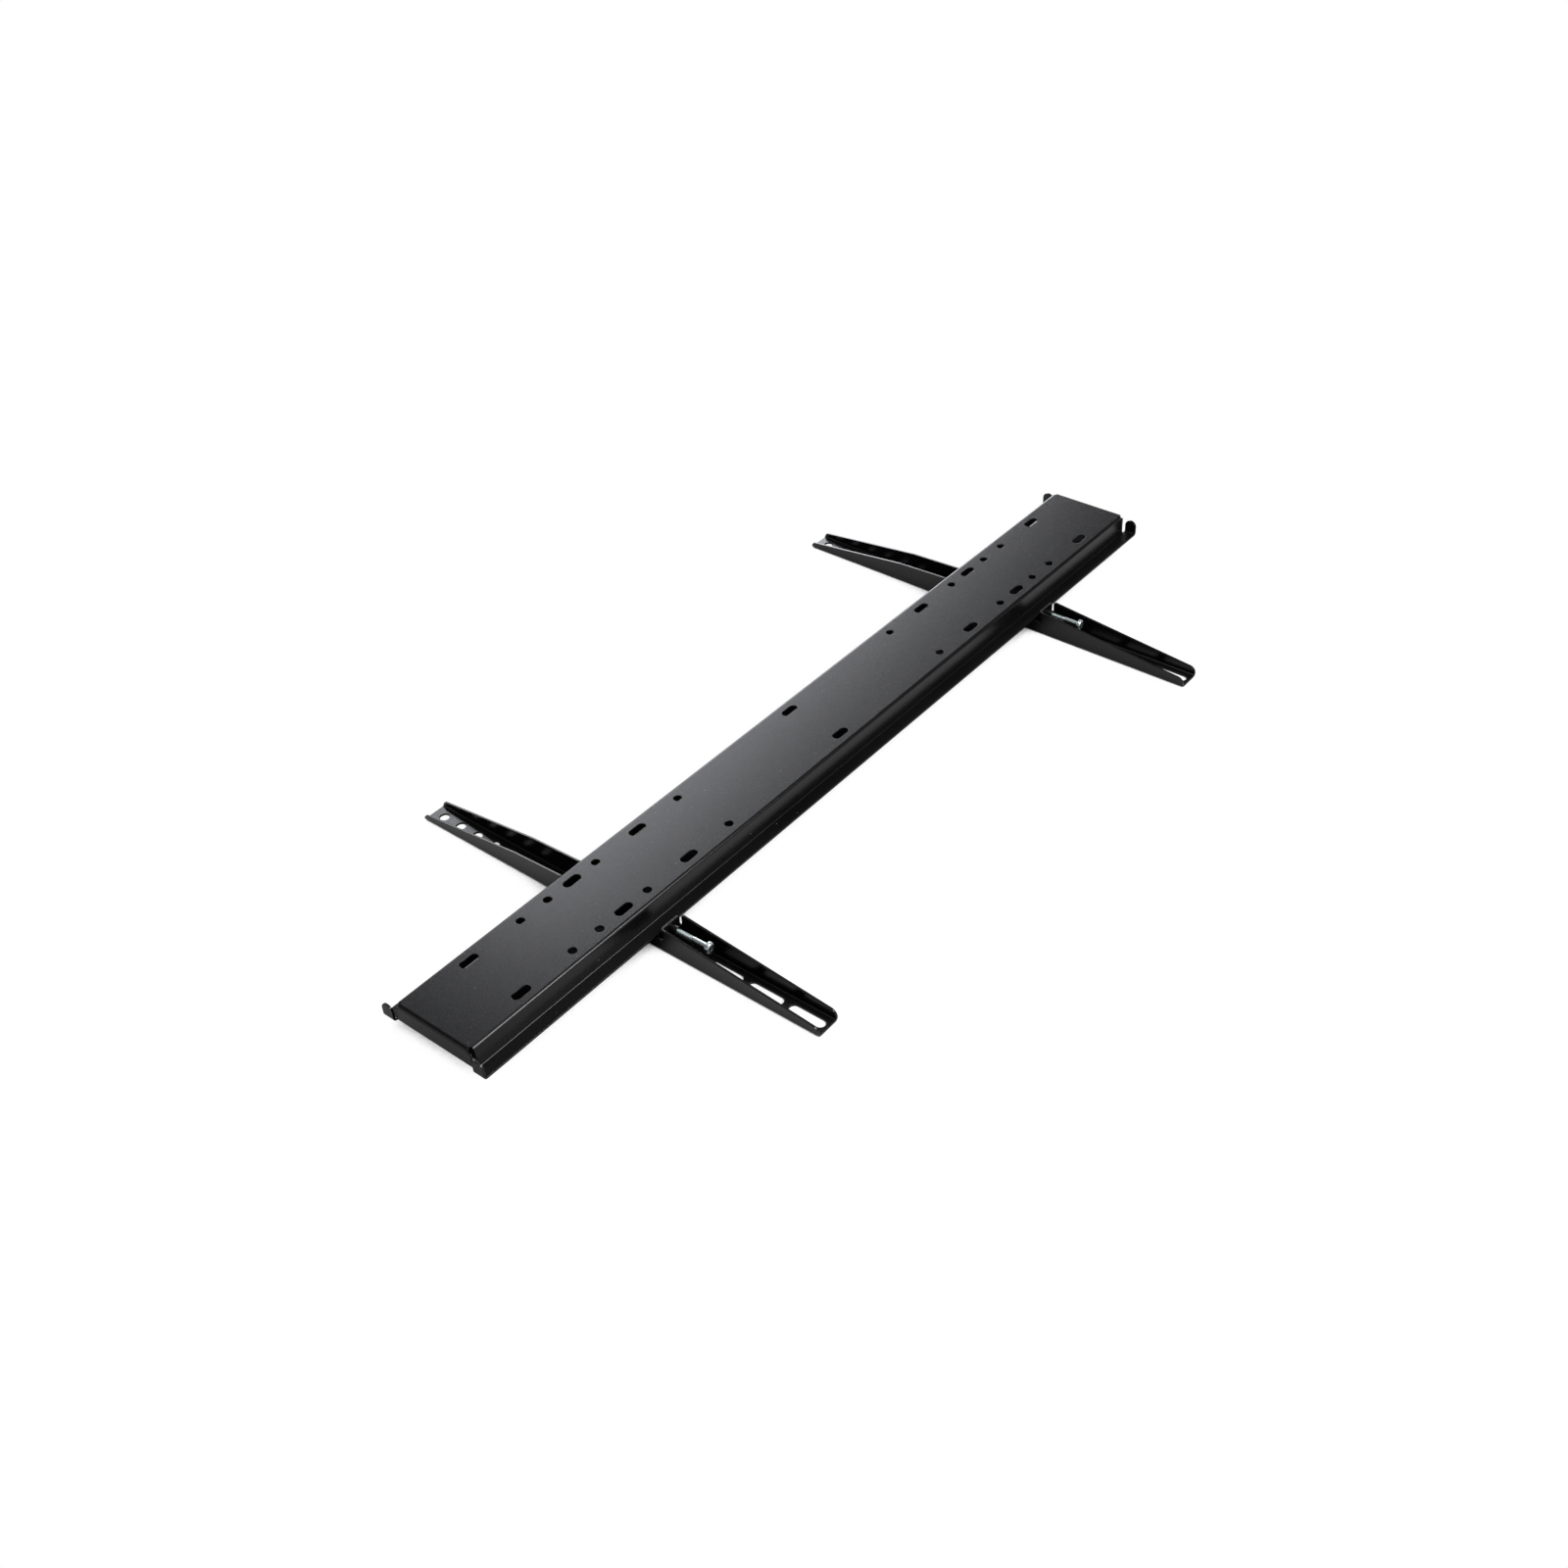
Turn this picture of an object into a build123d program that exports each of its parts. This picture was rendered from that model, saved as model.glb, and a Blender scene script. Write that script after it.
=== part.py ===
"""Fixed TV wall bracket: a folded wall rail, two hook-on TV arms and their lock screws.

The bracket lies as on a bench, with the arms' TV faces down on Z = 0 and the rail's wall face up.
X runs along the rail and Y along the arms, towards the end that is uppermost on a wall. Millimetres.
"""

import os

from build123d import *

# Whole bracket
bracket_depth = 33.0  # TV face of the arms to wall face of the rail
slide_gap = 0.3  # room between the rail and whatever slides along it

# Wall rail, one folded sheet
rail_length = 910.0  # over the outer faces of the end flanges
rail_width = 81.0  # over the outer faces of the side walls, at the panel
wall_lean = 2.7  # each side wall leans out by this much on its way to the flange
rail_depth = 19.8  # wall face to the TV face of the flanges
rail_sheet = 2.0
rail_bend = 1.0  # inside radius of every bend
flange_reach = 11.8  # flange beyond the foot of the side wall
end_flange_depth = 17.0
corner_gap = 1.2  # open seam between folds that meet at a corner
ear_drop = 4.8  # ear crown below the wall face
ear_overhang = 2.0  # ear beyond the end flange

# Wall fixings: two rows of holes, each station repeated at both ends of the rail
row_spacing = 56.5
round_stations = (150.0, 250.0, 305.0, 335.0)
slot_stations = (200.0, 277.5, 390.0)
wall_hole = 7.5
wall_slot_length = 17.5
wall_slot_width = 8.0

# TV arms, two alike, each one folded sheet
arm_places = {"left": -260.0, "right": 280.0}
arm_length = 432.0
arm_width = 24.0
arm_sheet = 2.0
arm_bend = 1.5
upper_tip_height = 6.5
lower_tip_height = 9.3
upper_tip_round = 4.5
lower_tip_round = 6.5
knee_from_tip = 112.0  # where the upper taper ends
knee_height = 20.4
knee_round = 40.0
hook_height = 23.2
hook_reach = 10.5  # finger over the rail flange
hook_round = 5.0
finger_round = 1.5
seat_round = 2.0

# Lock tab, folded from the left wall of each arm across the channel
tab_from_flange = 4.9  # front of the tab to the edge of the rail flange
tab_height = 24.5
tab_foot = 15.0
tab_gap = 0.8  # between the tab and the inner face of the opposite wall
tab_swing = 0.8  # the opposite wall stops this far behind the tab
tab_corner = 2.0
tab_relief = 1.6

# TV fixings in the web of each arm
web_hole = 9.0
web_hole_pitch = 20.7
web_hole_count = 6
web_hole_from_tip = 12.3
web_slot_length = 34.0
web_slot_pitch = 40.2
web_slot_count = 3
web_slot_from_tip = 3.0

# Threaded bush in the tab
bush_diameter = 7.6
bush_length = 6.5
bush_spigot = 6.4
bush_fit = 0.05
bush_chamfer = 0.4

# Lock screw, backed off
screw_height = 18.0  # axis above the TV face
screw_diameter = 4.9
screw_length = 40.0  # under the head
screw_past_tab = {"left": 1.3, "right": 3.2}
thread_gap = 0.05  # radial
screw_point = 0.7
head_diameter = 10.0
head_height = 3.7
head_rim = 1.7
crown_diameter = 6.4
recess_span = 5.0
recess_width = 1.3
recess_depth = 2.0
recess_taper = 8.0

# Levels and edges that several pieces share
wall_face = bracket_depth
flange_low = wall_face - rail_depth
flange_high = flange_low + rail_sheet
side_face = rail_width / 2
wall_foot = side_face + wall_lean
flange_edge = wall_foot + flange_reach
rail_bend_outer = rail_bend + rail_sheet
arm_bend_outer = arm_bend + arm_sheet
arm_tip = arm_length / 2
tab_front = -(flange_edge + tab_from_flange)
tab_back = tab_front - arm_sheet


def wall_rail() -> Part:
    """The folded rail: one quarter is drawn, then mirrored, then drilled."""
    rail_end = rail_length / 2
    side_wall_end = rail_end - rail_bend_outer - corner_gap
    ear_face = rail_end + ear_overhang
    ear_round = flange_reach / 2
    ear_shoulder = wall_face - ear_drop - ear_round
    plate_top = wall_face - rail_bend_outer - corner_gap
    plate_low = wall_face - end_flange_depth

    with BuildPart() as rail:
        # Half of the hat section: panel, side wall and flange
        with BuildSketch(Plane.YZ):
            with BuildLine():
                FilletPolyline(
                    (0, wall_face),
                    (side_face, wall_face),
                    (wall_foot, flange_high),
                    (flange_edge, flange_high),
                    radius=[rail_bend_outer, rail_bend],
                )
                offset(amount=rail_sheet, side=Side.RIGHT)
            make_face()
        extrude(amount=side_wall_end)

        # The panel runs on past the side wall and folds down as an end flange
        with BuildSketch(Plane.XZ):
            with BuildLine():
                FilletPolyline(
                    (side_wall_end, wall_face),
                    (rail_end, wall_face),
                    (rail_end, plate_low),
                    radius=rail_bend_outer,
                )
                offset(amount=rail_sheet, side=Side.RIGHT)
            make_face()
        extrude(amount=-(side_face - rail_bend_outer))

        # Below its bend the end flange widens to close the corner
        with BuildSketch(Plane.YZ.offset(rail_end)):
            with Locations((0, plate_low)):
                Rectangle(side_face, plate_top - plate_low, align=Align.MIN)
        extrude(amount=-rail_sheet)

        # The flange runs on and turns towards the wall as an ear with a round crown
        with BuildSketch(Plane.XZ.offset(-wall_foot)):
            with BuildLine():
                FilletPolyline(
                    (side_wall_end, flange_low),
                    (ear_face, flange_low),
                    (ear_face, ear_shoulder),
                    radius=rail_bend_outer,
                )
                offset(amount=rail_sheet, side=Side.LEFT)
            make_face()
        extrude(amount=-flange_reach)
        with BuildSketch(Plane.YZ.offset(ear_face)):
            with BuildLine():
                crown = CenterArc((wall_foot + ear_round, ear_shoulder), ear_round, 0, 180)
                Line(crown @ 0, crown @ 1)
            make_face()
        extrude(amount=-rail_sheet)

        mirror(about=Plane.XZ)
        mirror(about=Plane.YZ)

        # Two rows of wall fixings, with one pair of slots at mid-length
        rows = (-row_spacing / 2, row_spacing / 2)
        with BuildSketch(Plane.XY.offset(wall_face)):
            with Locations(*[(end * x, y) for x in round_stations for end in (-1, 1) for y in rows]):
                Circle(wall_hole / 2)
            with Locations(*[(end * x, y) for x in slot_stations for end in (-1, 1) for y in rows]):
                SlotOverall(wall_slot_length, wall_slot_width)
            with Locations(*[(0, y) for y in rows]):
                SlotOverall(wall_slot_length, wall_slot_width)
        extrude(amount=-rail_sheet, mode=Mode.SUBTRACT)
    return rail.part


def tv_arm(x: float) -> Part:
    """One folded arm, centred on x: a tapered channel with a hook, a seat for the rail and a tab."""
    wall = x - arm_width / 2
    seat = flange_low - slide_gap
    seat_end = flange_edge + slide_gap
    finger_low = flange_high + slide_gap
    finger_end = flange_edge - hook_reach
    fold_start = tab_front - arm_bend_outer
    wall_stop = tab_back - tab_swing
    tab_end = x + arm_width / 2 - arm_sheet - tab_gap

    with BuildPart() as arm:
        # Channel as bent, before its walls are cut to shape
        with BuildSketch(Plane.XZ):
            with BuildLine():
                FilletPolyline(
                    (wall, wall_face),
                    (wall, 0),
                    (wall + arm_width, 0),
                    (wall + arm_width, wall_face),
                    radius=arm_bend_outer,
                )
                offset(amount=arm_sheet, side=Side.LEFT)
            make_face()
        extrude(amount=arm_tip, both=True)

        # Outline of both walls, seen along the rail, from the lower tip round by the upper tip and hook
        with BuildSketch(Plane.YZ.offset(wall)):
            with BuildLine():
                FilletPolyline(
                    (-arm_tip, 0),
                    (arm_tip, 0),
                    (arm_tip, upper_tip_height),
                    (arm_tip - knee_from_tip, knee_height),
                    (finger_end, hook_height),
                    (finger_end, finger_low),
                    (seat_end, finger_low),
                    (seat_end, seat),
                    (wall_stop, seat),
                    (wall_stop, tab_height),
                    (-arm_tip, lower_tip_height),
                    radius=[
                        0,
                        0,
                        upper_tip_round,
                        knee_round,
                        hook_round,
                        finger_round,
                        0,
                        0,
                        seat_round,
                        tab_corner,
                        lower_tip_round,
                    ],
                    close=True,
                )
            make_face()
        extrude(amount=arm_width, mode=Mode.INTERSECT)

        # The left wall is cut back to its fold line, with a relief under the tab
        with BuildSketch(Plane.YZ.offset(wall)):
            with Locations((fold_start, tab_foot - tab_relief)):
                Rectangle(arm_bend_outer, wall_face, align=Align.MIN)
        extrude(amount=arm_sheet, mode=Mode.SUBTRACT)

        # The tab folds from that wall across the channel
        with BuildSketch(Plane.XY.offset(tab_foot)):
            with BuildLine():
                FilletPolyline(
                    (wall, fold_start - arm_sheet),
                    (wall, tab_front),
                    (tab_end, tab_front),
                    radius=arm_bend_outer,
                )
                offset(amount=arm_sheet, side=Side.RIGHT)
            make_face()
        extrude(amount=tab_height - tab_foot)
        free_corner = arm.edges(Select.LAST).filter_by(Axis.Y).group_by(Axis.Z)[-1].sort_by(Axis.X)[-1]
        fillet(free_corner, tab_corner)
        with BuildSketch(Plane.XZ.offset(-tab_back)):
            with Locations((x, screw_height)):
                Circle(bush_spigot / 2 + bush_fit)
        extrude(amount=-arm_sheet, mode=Mode.SUBTRACT)

        # Round holes towards the upper tip and long slots towards the lower tip
        first_hole = arm_tip - web_hole_from_tip
        first_slot = -arm_tip + web_slot_from_tip + web_slot_length / 2
        with BuildSketch(Plane.XY):
            with Locations(*[(x, first_hole - n * web_hole_pitch) for n in range(web_hole_count)]):
                Circle(web_hole / 2)
            with Locations(*[(x, first_slot + n * web_slot_pitch) for n in range(web_slot_count)]):
                SlotOverall(web_slot_length, web_hole, rotation=90)
        extrude(amount=arm_sheet, mode=Mode.SUBTRACT)
    return arm.part


def thread_bush(x: float) -> Part:
    """The round bush of the lock screw, seated in the tab of the arm at x."""
    with BuildPart() as bush:
        with BuildSketch(Plane.XZ.offset(-tab_back)):
            with Locations((x, screw_height)):
                Circle(bush_diameter / 2)
        extrude(amount=bush_length)
        chamfer(bush.edges().filter_by(GeomType.CIRCLE).sort_by(Axis.Y)[0], bush_chamfer)
        with BuildSketch(Plane.XZ.offset(-tab_back)):
            with Locations((x, screw_height)):
                Circle(bush_spigot / 2)
        extrude(amount=-arm_sheet)
        with BuildSketch(Plane.XZ.offset(-tab_front)):
            with Locations((x, screw_height)):
                Circle(screw_diameter / 2 + thread_gap)
        extrude(amount=arm_sheet + bush_length, mode=Mode.SUBTRACT)
    return bush.part


def lock_screw(x: float, past_tab: float) -> Part:
    """The pan-head screw of the arm at x, with its head towards the lower tip."""
    screw_tip = tab_front + past_tab
    head_seat = screw_tip - screw_length
    head_crown = head_seat - head_height
    head_radius = head_diameter / 2
    shank_radius = screw_diameter / 2
    axis_plane = Plane((x, 0, screw_height))
    with BuildPart() as screw:
        with BuildSketch(axis_plane):
            with BuildLine():
                Polyline(
                    (0, head_crown),
                    (0, screw_tip),
                    (shank_radius - screw_point, screw_tip),
                    (shank_radius, screw_tip - screw_point),
                    (shank_radius, head_seat),
                    (head_radius, head_seat),
                    (head_radius, head_seat - head_rim),
                    (crown_diameter / 2, head_crown),
                    close=True,
                )
            make_face()
        revolve(axis=Axis((x, 0, screw_height), (0, 1, 0)))
        with BuildSketch(Plane.XZ.offset(-head_crown)):
            with Locations((x, screw_height)):
                Rectangle(recess_span, recess_width)
                Rectangle(recess_width, recess_span)
        extrude(amount=-recess_depth, taper=recess_taper, mode=Mode.SUBTRACT)
    return screw.part


pieces = {"wall_rail": wall_rail()}
for side, arm_x in arm_places.items():
    pieces[f"{side}_arm"] = tv_arm(arm_x)
    pieces[f"{side}_thread_bush"] = thread_bush(arm_x)
    pieces[f"{side}_lock_screw"] = lock_screw(arm_x, screw_past_tab[side])

os.makedirs("parts", exist_ok=True)
for name, piece in pieces.items():
    piece.label = name
    export_step(piece, f"parts/{name}.step")
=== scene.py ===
"""Fixed TV wall bracket: coated rail and arms, bright lock screws, a white studio and the photo's camera.

Lengths are in metres, in the frame of the solids: X along the rail, Y along the arms, Z up from the floor.
"""

import logging
import math
from dataclasses import dataclass
from enum import Enum
from typing import Callable, Iterable, Protocol

import bpy
from mathutils import Matrix, Vector


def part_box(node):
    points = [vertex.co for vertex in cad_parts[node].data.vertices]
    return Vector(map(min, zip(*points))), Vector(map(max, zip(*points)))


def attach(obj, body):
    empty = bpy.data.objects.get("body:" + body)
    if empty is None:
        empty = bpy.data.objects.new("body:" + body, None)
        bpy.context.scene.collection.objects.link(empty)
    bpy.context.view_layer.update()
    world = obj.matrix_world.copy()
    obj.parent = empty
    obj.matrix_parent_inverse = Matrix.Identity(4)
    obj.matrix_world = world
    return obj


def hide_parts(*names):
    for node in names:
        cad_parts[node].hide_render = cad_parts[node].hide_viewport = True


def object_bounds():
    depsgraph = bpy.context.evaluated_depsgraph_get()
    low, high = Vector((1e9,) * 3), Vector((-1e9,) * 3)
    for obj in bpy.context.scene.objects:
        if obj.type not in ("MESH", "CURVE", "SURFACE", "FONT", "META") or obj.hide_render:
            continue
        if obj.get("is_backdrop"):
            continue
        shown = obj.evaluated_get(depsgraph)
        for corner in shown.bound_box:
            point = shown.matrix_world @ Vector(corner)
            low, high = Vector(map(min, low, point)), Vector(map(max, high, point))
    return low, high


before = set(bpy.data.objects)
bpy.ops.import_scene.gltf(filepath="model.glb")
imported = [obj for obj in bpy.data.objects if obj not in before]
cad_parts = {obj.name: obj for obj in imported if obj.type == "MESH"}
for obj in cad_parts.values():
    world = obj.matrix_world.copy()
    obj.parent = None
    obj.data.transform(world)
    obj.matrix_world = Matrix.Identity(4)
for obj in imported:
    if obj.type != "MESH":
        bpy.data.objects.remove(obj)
log = logging.getLogger("wall_bracket")

MM = 0.001
FULL_TURN = 2.0 * math.pi
MERGE_DISTANCE = 1e-6
CUT_DISTANCE = 1e-8
RISING = (0.0, 1.0)
FALLING = (1.0, 0.0)
WHITE = (1.0, 1.0, 1.0, 1.0)
BLACK = (0.0, 0.0, 0.0, 1.0)
# First input, second input and output of a Mix node, by its data type
MIX_SOCKETS = {"VECTOR": (4, 5, 1), "RGBA": (6, 7, 2)}

Point = tuple[float, float, float]
Colour = tuple[float, float, float]


class Slot(Enum):
    """The record's material slots."""

    COAT = "black_powder_coat"
    ZINC = "bright_zinc"


class Finish(Protocol):
    """A surface finish that can be put on a piece."""

    slot: Slot

    def material(self) -> bpy.types.Material:
        """Return the finish as a node material."""


def free_selection() -> None:
    """Leave object mode active with nothing selected."""
    if bpy.context.mode != "OBJECT":
        bpy.ops.object.mode_set(mode="OBJECT")
    bpy.ops.object.select_all(action="DESELECT")


def pick(piece: bpy.types.Object) -> None:
    """Make one object the only selected and active one.

    Args:
        piece: The object that the next operators act on.
    """
    free_selection()
    piece.select_set(True)
    bpy.context.view_layer.objects.active = piece


def edit(piece: bpy.types.Object, everything: bool = True) -> None:
    """Open a piece in edit mode.

    Args:
        piece: The object to edit.
        everything: Whether its whole mesh starts selected.
    """
    pick(piece)
    bpy.ops.object.mode_set(mode="EDIT")
    bpy.ops.mesh.select_mode(type="VERT")
    bpy.ops.mesh.select_all(action="SELECT" if everything else "DESELECT")


def edit_where(piece: bpy.types.Object, wanted: Callable[[Vector], bool]) -> None:
    """Open a piece in edit mode with the points selected that a test accepts.

    Args:
        piece: The object to edit.
        wanted: A test on a point's place in the mesh.
    """
    edit(piece, everything=False)
    bpy.ops.object.mode_set(mode="OBJECT")
    for vertex in piece.data.vertices:
        vertex.select = wanted(vertex.co)
    bpy.ops.object.mode_set(mode="EDIT")


def close_mesh(piece: bpy.types.Object) -> None:
    """Merge the points that coincide, turn every face outwards and leave edit mode.

    Args:
        piece: The object to close.
    """
    edit(piece)
    bpy.ops.mesh.remove_doubles(threshold=MERGE_DISTANCE)
    bpy.ops.mesh.normals_make_consistent(inside=False)
    bpy.ops.object.mode_set(mode="OBJECT")


def apply(piece: bpy.types.Object, modifier: bpy.types.Modifier) -> None:
    """Apply one modifier to a piece.

    Args:
        piece: The object that has the modifier.
        modifier: The modifier to apply.
    """
    pick(piece)
    bpy.ops.object.modifier_apply(modifier=modifier.name)


def combine(piece: bpy.types.Object, other: bpy.types.Object, operation: str) -> None:
    """Combine two closed meshes and remove the second.

    Args:
        piece: The object that keeps the result.
        other: The object that is added or cut away.
        operation: The Boolean modifier's operation, UNION or DIFFERENCE.
    """
    boolean = piece.modifiers.new("combine", "BOOLEAN")
    boolean.operation = operation
    boolean.solver = "EXACT"
    boolean.object = other
    apply(piece, boolean)
    bpy.data.objects.remove(other)


def draw_profile(name: str, points: Iterable[tuple[float, float]]) -> bpy.types.Object:
    """Draw an open profile in the XY plane, by extruding one vertex from point to point.

    Args:
        name: The name of the new object.
        points: Radius and place along the Y axis, in metres.

    Returns:
        The object, with the profile as its edges.
    """
    route = [Vector((radius, along, 0.0)) for radius, along in points]
    free_selection()
    bpy.ops.mesh.primitive_plane_add(size=MM, location=(0.0, 0.0, 0.0))
    piece = bpy.context.object
    piece.name = name
    edit(piece)
    bpy.ops.mesh.merge(type="CENTER")
    bpy.ops.transform.translate(value=route[0])
    for start, end in zip(route, route[1:]):
        bpy.ops.mesh.extrude_region_move(TRANSFORM_OT_translate={"value": end - start})
    bpy.ops.object.mode_set(mode="OBJECT")
    return piece


def smooth(piece: bpy.types.Object, angle: float) -> None:
    """Shade a piece smooth apart from its sharp edges.

    Args:
        piece: The object to shade.
        angle: The smallest angle that stays sharp, in radians.
    """
    pick(piece)
    bpy.ops.object.shade_smooth_by_angle(angle=angle)


def dress(piece: bpy.types.Object, finish: Finish) -> None:
    """Put a finish on all of a piece.

    Args:
        piece: The object to dress.
        finish: The finish that it gets.
    """
    piece.data.materials.clear()
    piece.data.materials.append(finish.material())


@dataclass
class NodeTree:
    """A node tree under construction."""

    tree: bpy.types.NodeTree

    def add(self, kind: str, **inputs: object) -> bpy.types.Node:
        """Add a node and set its inputs.

        Args:
            kind: The node's type name.
            inputs: Values or output sockets, by input name with spaces as underscores.

        Returns:
            The new node.
        """
        node = self.tree.nodes.new(kind)
        for name, value in inputs.items():
            self.put(node.inputs[name.replace("_", " ")], value)
        return node

    def put(self, socket: bpy.types.NodeSocket, value: object) -> None:
        """Link an output to a socket, or set the socket's own value.

        Args:
            socket: The input to feed.
            value: An output socket, or a plain value.
        """
        if isinstance(value, bpy.types.NodeSocket):
            self.tree.links.new(value, socket)
        else:
            socket.default_value = value

    def noise(self, place: bpy.types.NodeSocket, grain: float, detail: float = 2.0) -> bpy.types.NodeSocket:
        """Add a noise pattern.

        Args:
            place: The coordinates to read.
            grain: The size of the pattern's grains, in metres.
            detail: How many finer layers it has.

        Returns:
            The noise value, about 0.5 on average.
        """
        return self.add("ShaderNodeTexNoise", Vector=place, Scale=1.0 / grain, Detail=detail).outputs["Fac"]

    def span(self, value: bpy.types.NodeSocket, source: tuple[float, float],
             target: tuple[float, float]) -> bpy.types.NodeSocket:
        """Map a value from one span to another, held at the ends.

        Args:
            value: The value to map.
            source: The span that it is read over.
            target: The span that it is given.

        Returns:
            The mapped value.
        """
        node = self.add("ShaderNodeMapRange", Value=value, From_Min=source[0], From_Max=source[1],
                        To_Min=target[0], To_Max=target[1])
        return node.outputs["Result"]

    def work_out(self, kind: str, first: bpy.types.NodeSocket | float,
                 second: bpy.types.NodeSocket | float) -> bpy.types.NodeSocket:
        """Work out one value from two shares.

        Args:
            kind: The math node's operation.
            first: A value from 0 to 1.
            second: A value from 0 to 1.

        Returns:
            The result, held between 0 and 1.
        """
        node = self.add("ShaderNodeMath")
        node.operation = kind
        node.use_clamp = True
        self.put(node.inputs[0], first)
        self.put(node.inputs[1], second)
        return node.outputs[0]

    def add_up(self, first: bpy.types.NodeSocket, second: bpy.types.NodeSocket) -> bpy.types.NodeSocket:
        """Add two shares.

        Args:
            first: A value from 0 to 1.
            second: A value from 0 to 1.

        Returns:
            Their sum, held at 1.
        """
        return self.work_out("ADD", first, second)

    def times(self, first: bpy.types.NodeSocket | float,
              second: bpy.types.NodeSocket | float) -> bpy.types.NodeSocket:
        """Multiply two shares.

        Args:
            first: A value from 0 to 1.
            second: A value from 0 to 1.

        Returns:
            Their product.
        """
        return self.work_out("MULTIPLY", first, second)

    def mix(self, kind: str, share: bpy.types.NodeSocket, first: object,
            second: object) -> bpy.types.NodeSocket:
        """Mix two values of one kind.

        Args:
            kind: The Mix node's data type, VECTOR or RGBA.
            share: How much of the second value shows.
            first: A value or an output socket.
            second: A value or an output socket.

        Returns:
            The mixed value.
        """
        node = self.add("ShaderNodeMix")
        node.data_type = kind
        low, high, result = MIX_SOCKETS[kind]
        for index, value in ((0, share), (low, first), (high, second)):
            self.put(node.inputs[index], value)
        return node.outputs[result]

    def blend(self, share: bpy.types.NodeSocket, first: object, second: object) -> bpy.types.NodeSocket:
        """Mix two colours.

        Args:
            share: How much of the second colour shows.
            first: A colour or a colour socket.
            second: A colour or a colour socket.

        Returns:
            The mixed colour.
        """
        colours = [value if isinstance(value, bpy.types.NodeSocket) else (*value, 1.0)
                   for value in (first, second)]
        return self.mix("RGBA", share, *colours)


def start_material(name: str) -> tuple[bpy.types.Material, NodeTree, bpy.types.Node, bpy.types.NodeSocket]:
    """Start a node material.

    Args:
        name: The material's name.

    Returns:
        The material, its tree, its Principled shader and the Object coordinates.
    """
    material = bpy.data.materials.new(name)
    material.use_nodes = True
    nodes = NodeTree(material.node_tree)
    shader = material.node_tree.nodes["Principled BSDF"]
    place = nodes.add("ShaderNodeTexCoord").outputs["Object"]
    return material, nodes, shader, place


@dataclass(frozen=True)
class PowderCoat:
    """Satin black powder coat: fine orange peel, soft mottling and a few specks of dust."""

    slot: Slot = Slot.COAT
    dark: Colour = (0.0022, 0.0022, 0.0024)
    light: Colour = (0.0038, 0.0038, 0.0041)
    dust: Colour = (0.22, 0.22, 0.225)
    specular: float = 0.32
    smoothest: float = 0.21
    roughest: float = 0.28
    noise_span: tuple[float, float] = (0.3, 0.7)
    mottle_grain: float = 70 * MM
    peel_grain: float = 1.1 * MM
    powder_grain: float = 0.35 * MM
    powder_share: float = 0.35
    peel_depth: float = 0.04 * MM
    speck_spacing: float = 12.0 * MM
    speck_reach: float = 0.035

    def material(self) -> bpy.types.Material:
        """Return the coat as a node material, made once for all coated pieces."""
        made = bpy.data.materials.get(self.slot.value + "_finish")
        if made:
            return made
        material, nodes, shader, place = start_material(self.slot.value + "_finish")
        mottle = nodes.noise(place, self.mottle_grain, detail=4.0)
        peel = nodes.noise(place, self.peel_grain)
        powder = nodes.noise(place, self.powder_grain, detail=1.0)
        paint = nodes.blend(nodes.span(mottle, self.noise_span, RISING), self.dark, self.light)
        specks = nodes.add("ShaderNodeTexVoronoi", Vector=place, Scale=1.0 / self.speck_spacing)
        near = nodes.span(specks.outputs["Distance"], (0.5 * self.speck_reach, self.speck_reach), FALLING)
        nodes.put(shader.inputs["Base Color"], nodes.blend(near, paint, self.dust))
        nodes.put(shader.inputs["Roughness"],
                  nodes.span(peel, self.noise_span, (self.smoothest, self.roughest)))
        shader.inputs["Specular IOR Level"].default_value = self.specular
        surface = nodes.add("ShaderNodeMath")
        surface.operation = "ADD"
        nodes.put(surface.inputs[0], peel)
        nodes.put(surface.inputs[1], nodes.span(powder, RISING, (0.0, self.powder_share)))
        bump = nodes.add("ShaderNodeBump", Height=surface.outputs[0], Distance=self.peel_depth, Strength=1.0)
        nodes.put(shader.inputs["Normal"], bump.outputs["Normal"])
        return material


@dataclass(frozen=True)
class BrightZinc:
    """Bright zinc plate: cool, satin metal with a little haze."""

    slot: Slot = Slot.ZINC
    bright: Colour = (0.73, 0.80, 0.80)
    dull: Colour = (0.58, 0.64, 0.64)
    smoothest: float = 0.24
    roughest: float = 0.34
    haze_span: tuple[float, float] = (0.35, 0.65)
    haze_grain: float = 2.4 * MM
    grain: float = 0.25 * MM
    grain_depth: float = 0.004 * MM

    def material(self) -> bpy.types.Material:
        """Return the plate as a node material, made once for both screws."""
        made = bpy.data.materials.get(self.slot.value + "_finish")
        if made:
            return made
        material, nodes, shader, place = start_material(self.slot.value + "_finish")
        haze = nodes.span(nodes.noise(place, self.haze_grain, detail=3.0), self.haze_span, RISING)
        nodes.put(shader.inputs["Base Color"], nodes.blend(haze, self.bright, self.dull))
        nodes.put(shader.inputs["Roughness"], nodes.span(haze, RISING, (self.smoothest, self.roughest)))
        shader.inputs["Metallic"].default_value = 1.0
        bump = nodes.add("ShaderNodeBump", Height=nodes.noise(place, self.grain),
                         Distance=self.grain_depth, Strength=1.0)
        nodes.put(shader.inputs["Normal"], bump.outputs["Normal"])
        return material


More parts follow.
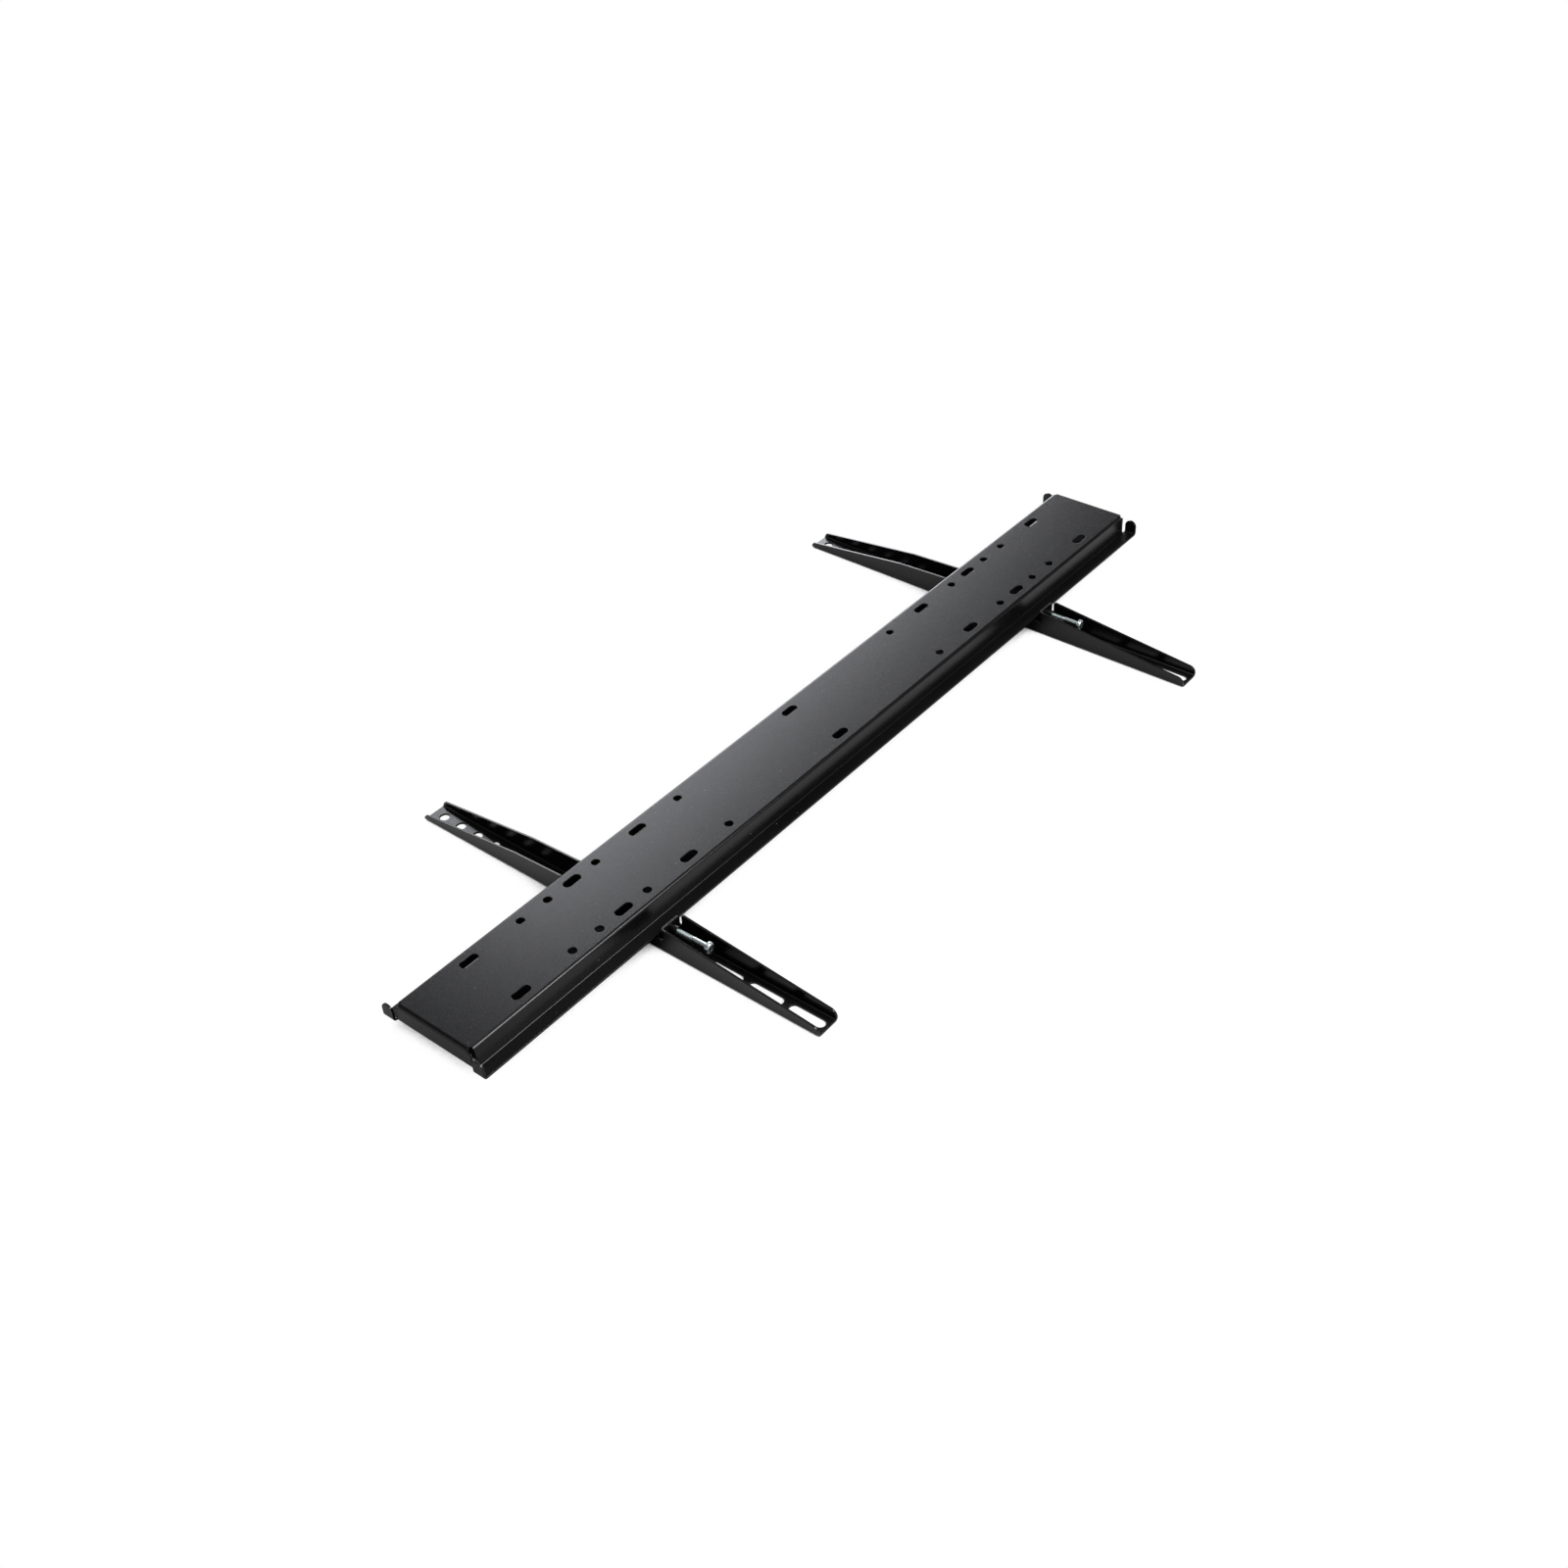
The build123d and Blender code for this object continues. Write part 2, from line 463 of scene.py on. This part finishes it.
@dataclass
class CoatedPiece:
    """A folded sheet or a bush under its coat of paint, which rounds every cut edge."""

    node: str
    body: str
    edge_round: float = 0.28 * MM
    edge_steps: int = 2
    flat_limit: float = math.radians(0.4)
    edge_limit: float = math.radians(50)
    shade_limit: float = math.radians(46)

    def build(self) -> bpy.types.Object:
        """Copy the node's form, join its flat faces and round its cut edges.

        Returns:
            The coated piece, riding on its body in place of the node.
        """
        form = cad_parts[self.node].data.copy()
        piece = bpy.data.objects.new(self.node + "_coated", form)
        bpy.context.scene.collection.objects.link(piece)
        pick(piece)
        bpy.ops.mesh.customdata_custom_splitnormals_clear()
        edit(piece)
        bpy.ops.mesh.remove_doubles(threshold=MERGE_DISTANCE)
        bpy.ops.mesh.dissolve_limited(angle_limit=self.flat_limit)
        bpy.ops.object.mode_set(mode="OBJECT")
        self.round_edges(piece)
        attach(piece, self.body)
        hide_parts(self.node)
        return piece

    def round_edges(self, piece: bpy.types.Object) -> None:
        """Round the edges that were cut square, and keep the flats flat.

        Args:
            piece: The sheet to finish.
        """
        bevel = piece.modifiers.new("round", "BEVEL")
        bevel.width = self.edge_round
        bevel.segments = self.edge_steps
        bevel.limit_method = "ANGLE"
        bevel.angle_limit = self.edge_limit
        bevel.use_clamp_overlap = False
        apply(piece, bevel)
        smooth(piece, self.shade_limit)
        weighted = piece.modifiers.new("flats", "WEIGHTED_NORMAL")
        weighted.keep_sharp = True
        apply(piece, weighted)


@dataclass
class LockScrew:
    """An M5 pan-head lock screw with a rolled thread and a cross recess, its head towards the front."""

    node: str
    body: str
    pitch: float = 0.8 * MM
    plain_length: float = 15 * MM
    runout: float = 0.6 * MM
    crest_drop: float = 0.03 * MM  # the thread's crests lie this far inside the plain shank
    lap: float = 0.1 * MM  # how far joined solids reach into each other
    spare_turns: int = 2  # thread turned beyond each end, then cut off
    thread_depth: float = 0.43 * MM
    crest_share: float = 0.14
    root_share: float = 0.12
    turn_steps: int = 28
    shank_radius: float = 2.45 * MM
    point_length: float = 0.7 * MM
    point_share: float = 0.74
    head_height: float = 3.7 * MM
    rim_height: float = 1.5 * MM
    rim_round: float = 0.25 * MM
    crown_radius: float = 2.9 * MM
    dome_steps: int = 7
    head_steps: int = 56
    recess_span: float = 5.0 * MM
    recess_width: float = 1.3 * MM
    recess_depth: float = 2.0 * MM
    recess_floor_share: float = 0.55
    edge_limit: float = math.radians(38)

    def build(self) -> bpy.types.Object:
        """Model the screw along the Y axis and set it in its node's place.

        Returns:
            The screw, riding on its body in place of the node.
        """
        low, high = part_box(self.node)
        seat = low.y + self.head_height
        piece = self.threaded_shank(seat, high.y)
        combine(piece, self.plain_shank(seat), "UNION")
        combine(piece, self.pan_head(seat, 0.5 * (high.x - low.x)), "UNION")
        combine(piece, self.cross_cutter(low.y), "DIFFERENCE")
        piece.name = self.node + "_threaded"
        piece.location = (0.5 * (low.x + high.x), 0.0, 0.5 * (low.z + high.z))
        pick(piece)
        bpy.ops.object.transform_apply(location=True, rotation=True, scale=True)
        close_mesh(piece)
        smooth(piece, self.edge_limit)
        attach(piece, self.body)
        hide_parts(self.node)
        return piece

    def threaded_shank(self, seat: float, tip: float) -> bpy.types.Object:
        """Turn one thread's profile along the shank, cut both ends square and taper the point.

        Args:
            seat: Where the head's underside is along Y, in metres.
            tip: Where the point ends along Y, in metres.

        Returns:
            The closed shank.
        """
        crest_radius = self.shank_radius - self.crest_drop
        root = self.shank_radius - self.thread_depth
        flank = 0.5 * (1.0 - self.crest_share - self.root_share) * self.pitch
        crest = self.crest_share * self.pitch
        begin = seat + self.plain_length - self.pitch
        start = begin - self.spare_turns * self.pitch
        steps = (0.0, flank, flank + crest, 2.0 * flank + crest, self.pitch)
        radii = (root, crest_radius, crest_radius, root, root)
        piece = draw_profile("shank", [(radius, start + step) for radius, step in zip(radii, steps)])
        thread = piece.modifiers.new("thread", "SCREW")
        thread.axis = "Y"
        thread.angle = FULL_TURN
        thread.screw_offset = self.pitch
        thread.iterations = math.ceil((tip - start) / self.pitch) + self.spare_turns
        thread.steps = thread.render_steps = self.turn_steps
        thread.use_merge_vertices = True
        thread.merge_threshold = MERGE_DISTANCE
        apply(piece, thread)
        close_mesh(piece)
        for end, direction in ((begin, -1.0), (tip, 1.0)):
            edit(piece)
            bpy.ops.mesh.bisect(plane_co=(0.0, end, 0.0), plane_no=(0.0, direction, 0.0),
                                use_fill=True, clear_outer=True, threshold=CUT_DISTANCE)
        edit_where(piece, lambda place: place.y > tip - self.point_length)
        bpy.ops.transform.resize(value=(self.point_share, 1.0, self.point_share),
                                 center_override=(0.0, tip, 0.0))
        close_mesh(piece)
        return piece

    def spin(self, name: str, points: list[tuple[float, float]]) -> bpy.types.Object:
        """Spin a section once round the Y axis.

        Args:
            name: The new object's name.
            points: The section's radius and place along Y, in metres.

        Returns:
            The closed solid.
        """
        piece = draw_profile(name, points)
        edit(piece)
        bpy.ops.mesh.spin(steps=self.head_steps, angle=FULL_TURN, center=(0.0, 0.0, 0.0),
                          axis=(0.0, 1.0, 0.0), use_auto_merge=True)
        close_mesh(piece)
        return piece

    def plain_shank(self, seat: float) -> bpy.types.Object:
        """Spin the smooth length under the head, which runs out to the thread's root.

        Args:
            seat: Where the head's underside is along Y, in metres.

        Returns:
            The closed solid.
        """
        neck = self.shank_radius - self.thread_depth - self.lap
        under, end = seat - self.lap, seat + self.plain_length
        return self.spin("plain_shank", [(0.0, under), (self.shank_radius, under), (self.shank_radius, end),
                                         (neck, end + self.runout), (0.0, end + self.runout)])

    def pan_head(self, seat: float, radius: float) -> bpy.types.Object:
        """Spin the head from its section: flat crown, domed shoulder, rim and flat seat.

        Args:
            seat: Where the head's underside is along Y, in metres.
            radius: The rim's radius in metres.

        Returns:
            The closed head.
        """
        top = seat - self.head_height
        rim = seat - self.rim_height
        dome = [(self.crown_radius + (radius - self.crown_radius) * math.sin(turn),
                 rim - (rim - top) * math.cos(turn))
                for turn in (step * 0.5 * math.pi / self.dome_steps for step in range(self.dome_steps + 1))]
        foot = [(radius, seat - self.rim_round), (radius - self.rim_round, seat), (0.0, seat)]
        return self.spin("head", [(0.0, top), *dome, *foot])

    def cross_cutter(self, crown: float) -> bpy.types.Object:
        """Make the tapered cross that cuts the driver recess.

        Args:
            crown: Where the head's flat crown is along Y, in metres.

        Returns:
            The closed cutter, standing proud of the crown.
        """
        bars = []
        for wide, high in ((self.recess_span, self.recess_width), (self.recess_width, self.recess_span)):
            free_selection()
            bpy.ops.mesh.primitive_cube_add(size=1.0, location=(0.0, crown, 0.0),
                                            scale=(wide, 2.0 * self.recess_depth, high))
            bar = bpy.context.object
            bpy.ops.object.transform_apply(location=True, rotation=True, scale=True)
            edit_where(bar, lambda place: place.y > crown)
            bpy.ops.transform.resize(value=(self.recess_floor_share, 1.0, self.recess_floor_share),
                                     center_override=(0.0, crown, 0.0))
            close_mesh(bar)
            bars.append(bar)
        combine(bars[0], bars[1], "UNION")
        return bars[0]


@dataclass
class Softbox:
    """A rectangular studio lamp."""

    name: str
    place: Point
    aim: Point
    width: float
    height: float
    radiance: float
    tint: Colour = (1.0, 1.0, 1.0)
    roll: float = 0.0

    def build(self) -> bpy.types.Object:
        """Hang the lamp at its place, facing what it lights and rolled about that line.

        Returns:
            The lamp.
        """
        lamp = bpy.data.lights.new(self.name, "AREA")
        lamp.shape = "RECTANGLE"
        lamp.size = self.width
        lamp.size_y = self.height
        lamp.energy = self.radiance * math.pi * self.width * self.height
        lamp.color = self.tint
        holder = bpy.data.objects.new(self.name, lamp)
        bpy.context.scene.collection.objects.link(holder)
        holder.location = self.place
        holder.visible_camera = False
        out = Vector(self.place) - Vector(self.aim)
        turn = out.to_track_quat("Z", "Y").to_matrix() @ Matrix.Rotation(self.roll, 3, "Z")
        holder.rotation_euler = turn.to_euler()
        return holder


@dataclass
class Studio:
    """White floor and surround, a dim ceiling and soft lamps."""

    floor_size: float = 12.0
    ceiling_size: float = 14.0
    ceiling_height: float = 1.9
    dim_light: float = 0.16
    card_place: Point = (1.9, -1.85, 0.4)
    card_size: tuple[float, float] = (1.8, 0.8)
    floor_depth: float = 0.01
    floor_grey: float = 0.04
    shade_reach: float = 0.3
    shade_rays: int = 12
    # Shade on the floor as the camera sees it: where it looks for cover, and the span from dark to white
    seen_from: Point = (0.06, -0.64, 0.77)
    seen_span: tuple[float, float] = (0.22, 0.34)
    # The floor under the rail gets a painted shadow: its glow is cut off there by place, this far inside the
    # low and the high ends of the rail's box
    painted_shadow_inset: tuple[float, float] = (14 * MM, 0.0)
    painted_shadow_edge: float = 4 * MM
    # The same shade as gloss shows it; past the near end the floor's reflection is also dimmed along X by
    # place, a painted shade
    gloss_from: Point = (0.0, 0.0, 1.0)
    gloss_span: tuple[float, float] = (0.26, 1.00)
    painted_dimming_span: tuple[float, float] = (-0.50, -0.28)
    painted_dimming_to: float = 0.35
    ambient: float = 0.55

    def build(self, lamps: Iterable[Softbox]) -> None:
        """Lay the floor, set the ceiling and the surround and hang the lamps.

        Args:
            lamps: The soft lamps of this set.
        """
        self.lay_floor()
        self.hang_dim_sides()
        self.set_surround()
        for lamp in lamps:
            lamp.build()
            log.info("lamp %s", lamp.name)

    def rays(self, nodes: NodeTree) -> tuple[bpy.types.NodeSocket, bpy.types.NodeSocket]:
        """Tell the rays that show the background from those that carry light.

        Args:
            nodes: The tree that needs to know.

        Returns:
            Two values, 1 for camera rays and 1 for rays that show the background in metal or glass.
        """
        path = nodes.add("ShaderNodeLightPath").outputs
        return path["Is Camera Ray"], nodes.add_up(path["Is Glossy Ray"], path["Is Transmission Ray"])

    def lay_floor(self) -> None:
        """Lay the white floor, which keeps a faint shadow and shows a deeper one in gloss, with a painted
        shadow under the rail and a painted shade that dims its reflection past the near end.
        """
        free_selection()
        bpy.ops.mesh.primitive_cube_add(size=1.0, location=(0.0, 0.0, -0.5 * self.floor_depth),
                                        scale=(self.floor_size, self.floor_size, self.floor_depth))
        floor = bpy.context.object
        floor.name = "floor"
        material, nodes, shader, _ = start_material("pale_floor")
        shader.inputs["Base Color"].default_value = (self.floor_grey, self.floor_grey, self.floor_grey, 1.0)
        shader.inputs["Roughness"].default_value = 1.0
        shader.inputs["Specular IOR Level"].default_value = 0.0
        glow = nodes.add("ShaderNodeEmission", Strength=1.0)
        camera, gloss = self.rays(nodes)
        sky = nodes.add("ShaderNodeAmbientOcclusion", Distance=self.shade_reach)
        sky.samples = self.shade_rays
        nodes.put(sky.inputs["Normal"], nodes.mix("VECTOR", camera, self.gloss_from, self.seen_from))
        spot = nodes.add("ShaderNodeSeparateXYZ")
        nodes.put(spot.inputs["Vector"], nodes.add("ShaderNodeNewGeometry").outputs["Position"])
        # Painted shadow: the glow that the camera sees is cut off under the rail by place
        open_floor = nodes.times(camera, self.painted_rail_shadow_mask(nodes, spot))
        seen = nodes.times(open_floor, nodes.span(sky.outputs["AO"], self.seen_span, RISING))
        # Painted shade: the floor's glow in gloss dims along X past the near end
        painted_dimming = nodes.span(spot.outputs["X"], self.painted_dimming_span, (self.painted_dimming_to, 1.0))
        shown = nodes.times(nodes.times(gloss, painted_dimming),
                            nodes.span(sky.outputs["AO"], self.gloss_span, RISING))
        mix = nodes.add("ShaderNodeMixShader", Fac=nodes.add_up(seen, shown))
        nodes.put(mix.inputs[1], shader.outputs["BSDF"])
        nodes.put(mix.inputs[2], glow.outputs["Emission"])
        nodes.put(material.node_tree.nodes["Material Output"].inputs["Surface"], mix.outputs["Shader"])
        floor.data.materials.append(material)
        floor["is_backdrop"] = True

    def painted_rail_shadow_mask(self, nodes: NodeTree, spot: bpy.types.Node) -> bpy.types.NodeSocket:
        """Tell the open floor from the painted shadow on the floor under the rail, which is set by place.

        Args:
            nodes: The floor's tree.
            spot: The node that gives the place on the floor by axis.

        Returns:
            A value, 0 in the painted shadow under the rail and 1 beside it.
        """
        under = 1.0
        for axis, low, high in zip("XY", *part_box("wall_rail")):
            begin, end = low + self.painted_shadow_inset[0], high - self.painted_shadow_inset[1]
            rise = nodes.span(spot.outputs[axis], (begin, begin + self.painted_shadow_edge), RISING)
            fall = nodes.span(spot.outputs[axis], (end - self.painted_shadow_edge, end), FALLING)
            under = nodes.times(under, nodes.times(rise, fall))
        return nodes.span(under, RISING, FALLING)

    def hang_dim_sides(self) -> None:
        """Hang a dim ceiling and a dim card at the right, so that gloss has dark to show beside the lamps."""
        material, _, shader, _ = start_material("dim_cloth")
        shader.inputs["Base Color"].default_value = BLACK
        shader.inputs["Specular IOR Level"].default_value = 0.0
        shader.inputs["Emission Color"].default_value = WHITE
        shader.inputs["Emission Strength"].default_value = self.dim_light
        side = Vector((self.card_place[0], self.card_place[1], 0.0))
        upright = side.to_track_quat("Z", "Y").to_euler()
        sheets = (
            ("ceiling", (0.0, 0.0, self.ceiling_height), (0.0, 0.0, 0.0),
             (self.ceiling_size, self.ceiling_size)),
            ("dark_card", self.card_place, upright, self.card_size),
        )
        for name, place, turn, size in sheets:
            free_selection()
            bpy.ops.mesh.primitive_plane_add(size=1.0, location=place, rotation=turn)
            sheet = bpy.context.object
            sheet.name = name
            sheet.scale = (size[0], size[1], 1.0)
            sheet.visible_camera = sheet.visible_shadow = False
            sheet.data.materials.append(material)
            sheet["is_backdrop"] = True

    def set_surround(self) -> None:
        """Set a white surround that lights the object a little less than it shows."""
        world = bpy.data.worlds.new("surround")
        world.use_nodes = True
        bpy.context.scene.world = world
        nodes = NodeTree(world.node_tree)
        light = world.node_tree.nodes["Background"]
        light.inputs["Color"].default_value = (self.ambient, self.ambient, self.ambient, 1.0)
        shown = nodes.add("ShaderNodeBackground", Color=WHITE, Strength=1.0)
        mix = nodes.add("ShaderNodeMixShader", Fac=nodes.add_up(*self.rays(nodes)))
        nodes.put(mix.inputs[1], light.outputs["Background"])
        nodes.put(mix.inputs[2], shown.outputs["Background"])
        nodes.put(world.node_tree.nodes["World Output"].inputs["Surface"], mix.outputs["Shader"])


@dataclass
class PhotoCamera:
    """The photograph's camera: above and to the left of the near end, looking along the rail."""

    lens: float = 41.843
    sensor: float = 36.0
    place: Point = (-0.98347, -0.82237, 0.99558)
    aim: Point = (-0.08349, -0.03278, 0.033)
    roll: float = math.radians(-3.67)

    def build(self) -> None:
        """Set the camera up and make it the scene's own."""
        data = bpy.data.cameras.new("photo_camera")
        data.lens = self.lens
        data.sensor_width = self.sensor
        camera = bpy.data.objects.new("photo_camera", data)
        bpy.context.scene.collection.objects.link(camera)
        view = Vector(self.aim) - Vector(self.place)
        turn = view.to_track_quat("-Z", "Y").to_matrix() @ Matrix.Rotation(self.roll, 3, "Z")
        camera.matrix_world = Matrix.Translation(self.place) @ turn.to_4x4()
        bpy.context.scene.camera = camera


def main() -> None:
    """Build every piece, dress it, and set up the studio and the camera."""
    logging.basicConfig(level=logging.INFO, format="%(name)s: %(message)s")
    bpy.context.scene.view_settings.view_transform = "Standard"
    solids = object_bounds()
    coat, zinc = PowderCoat(), BrightZinc()
    sheets = [CoatedPiece("wall_rail", "rail")]
    screws = []
    for side in ("left", "right"):
        sheets.append(CoatedPiece(f"{side}_arm", f"{side}_arm"))
        sheets.append(CoatedPiece(f"{side}_thread_bush", f"{side}_arm", edge_round=0.15 * MM))
        screws.append(LockScrew(f"{side}_lock_screw", f"{side}_lock_screw"))
    for maker, finish in [(sheet, coat) for sheet in sheets] + [(screw, zinc) for screw in screws]:
        piece = maker.build()
        dress(piece, finish)
        log.info("%s rides on %s, %d faces", piece.name, maker.body, len(piece.data.polygons))
    middle = (0.0, 0.0, solids[1][2])
    Studio().build([
        Softbox("back_light", place=(1.263, 1.347, 0.80), aim=middle, width=1.80, height=0.80, radiance=7.4,
                tint=(0.97, 0.985, 1.04), roll=math.radians(42)),
        Softbox("front_light", place=(0.12, -1.06, 1.10), aim=(-0.4, 0.0, 0.0), width=0.85, height=0.6,
                radiance=16.0),
        Softbox("top_light", place=(-0.2, 0.1, 1.8), aim=(-0.2, 0.101, 0.0), width=1.1, height=1.1,
                radiance=1.5),
    ])
    PhotoCamera().build()


if __name__ == "__main__":
    main()
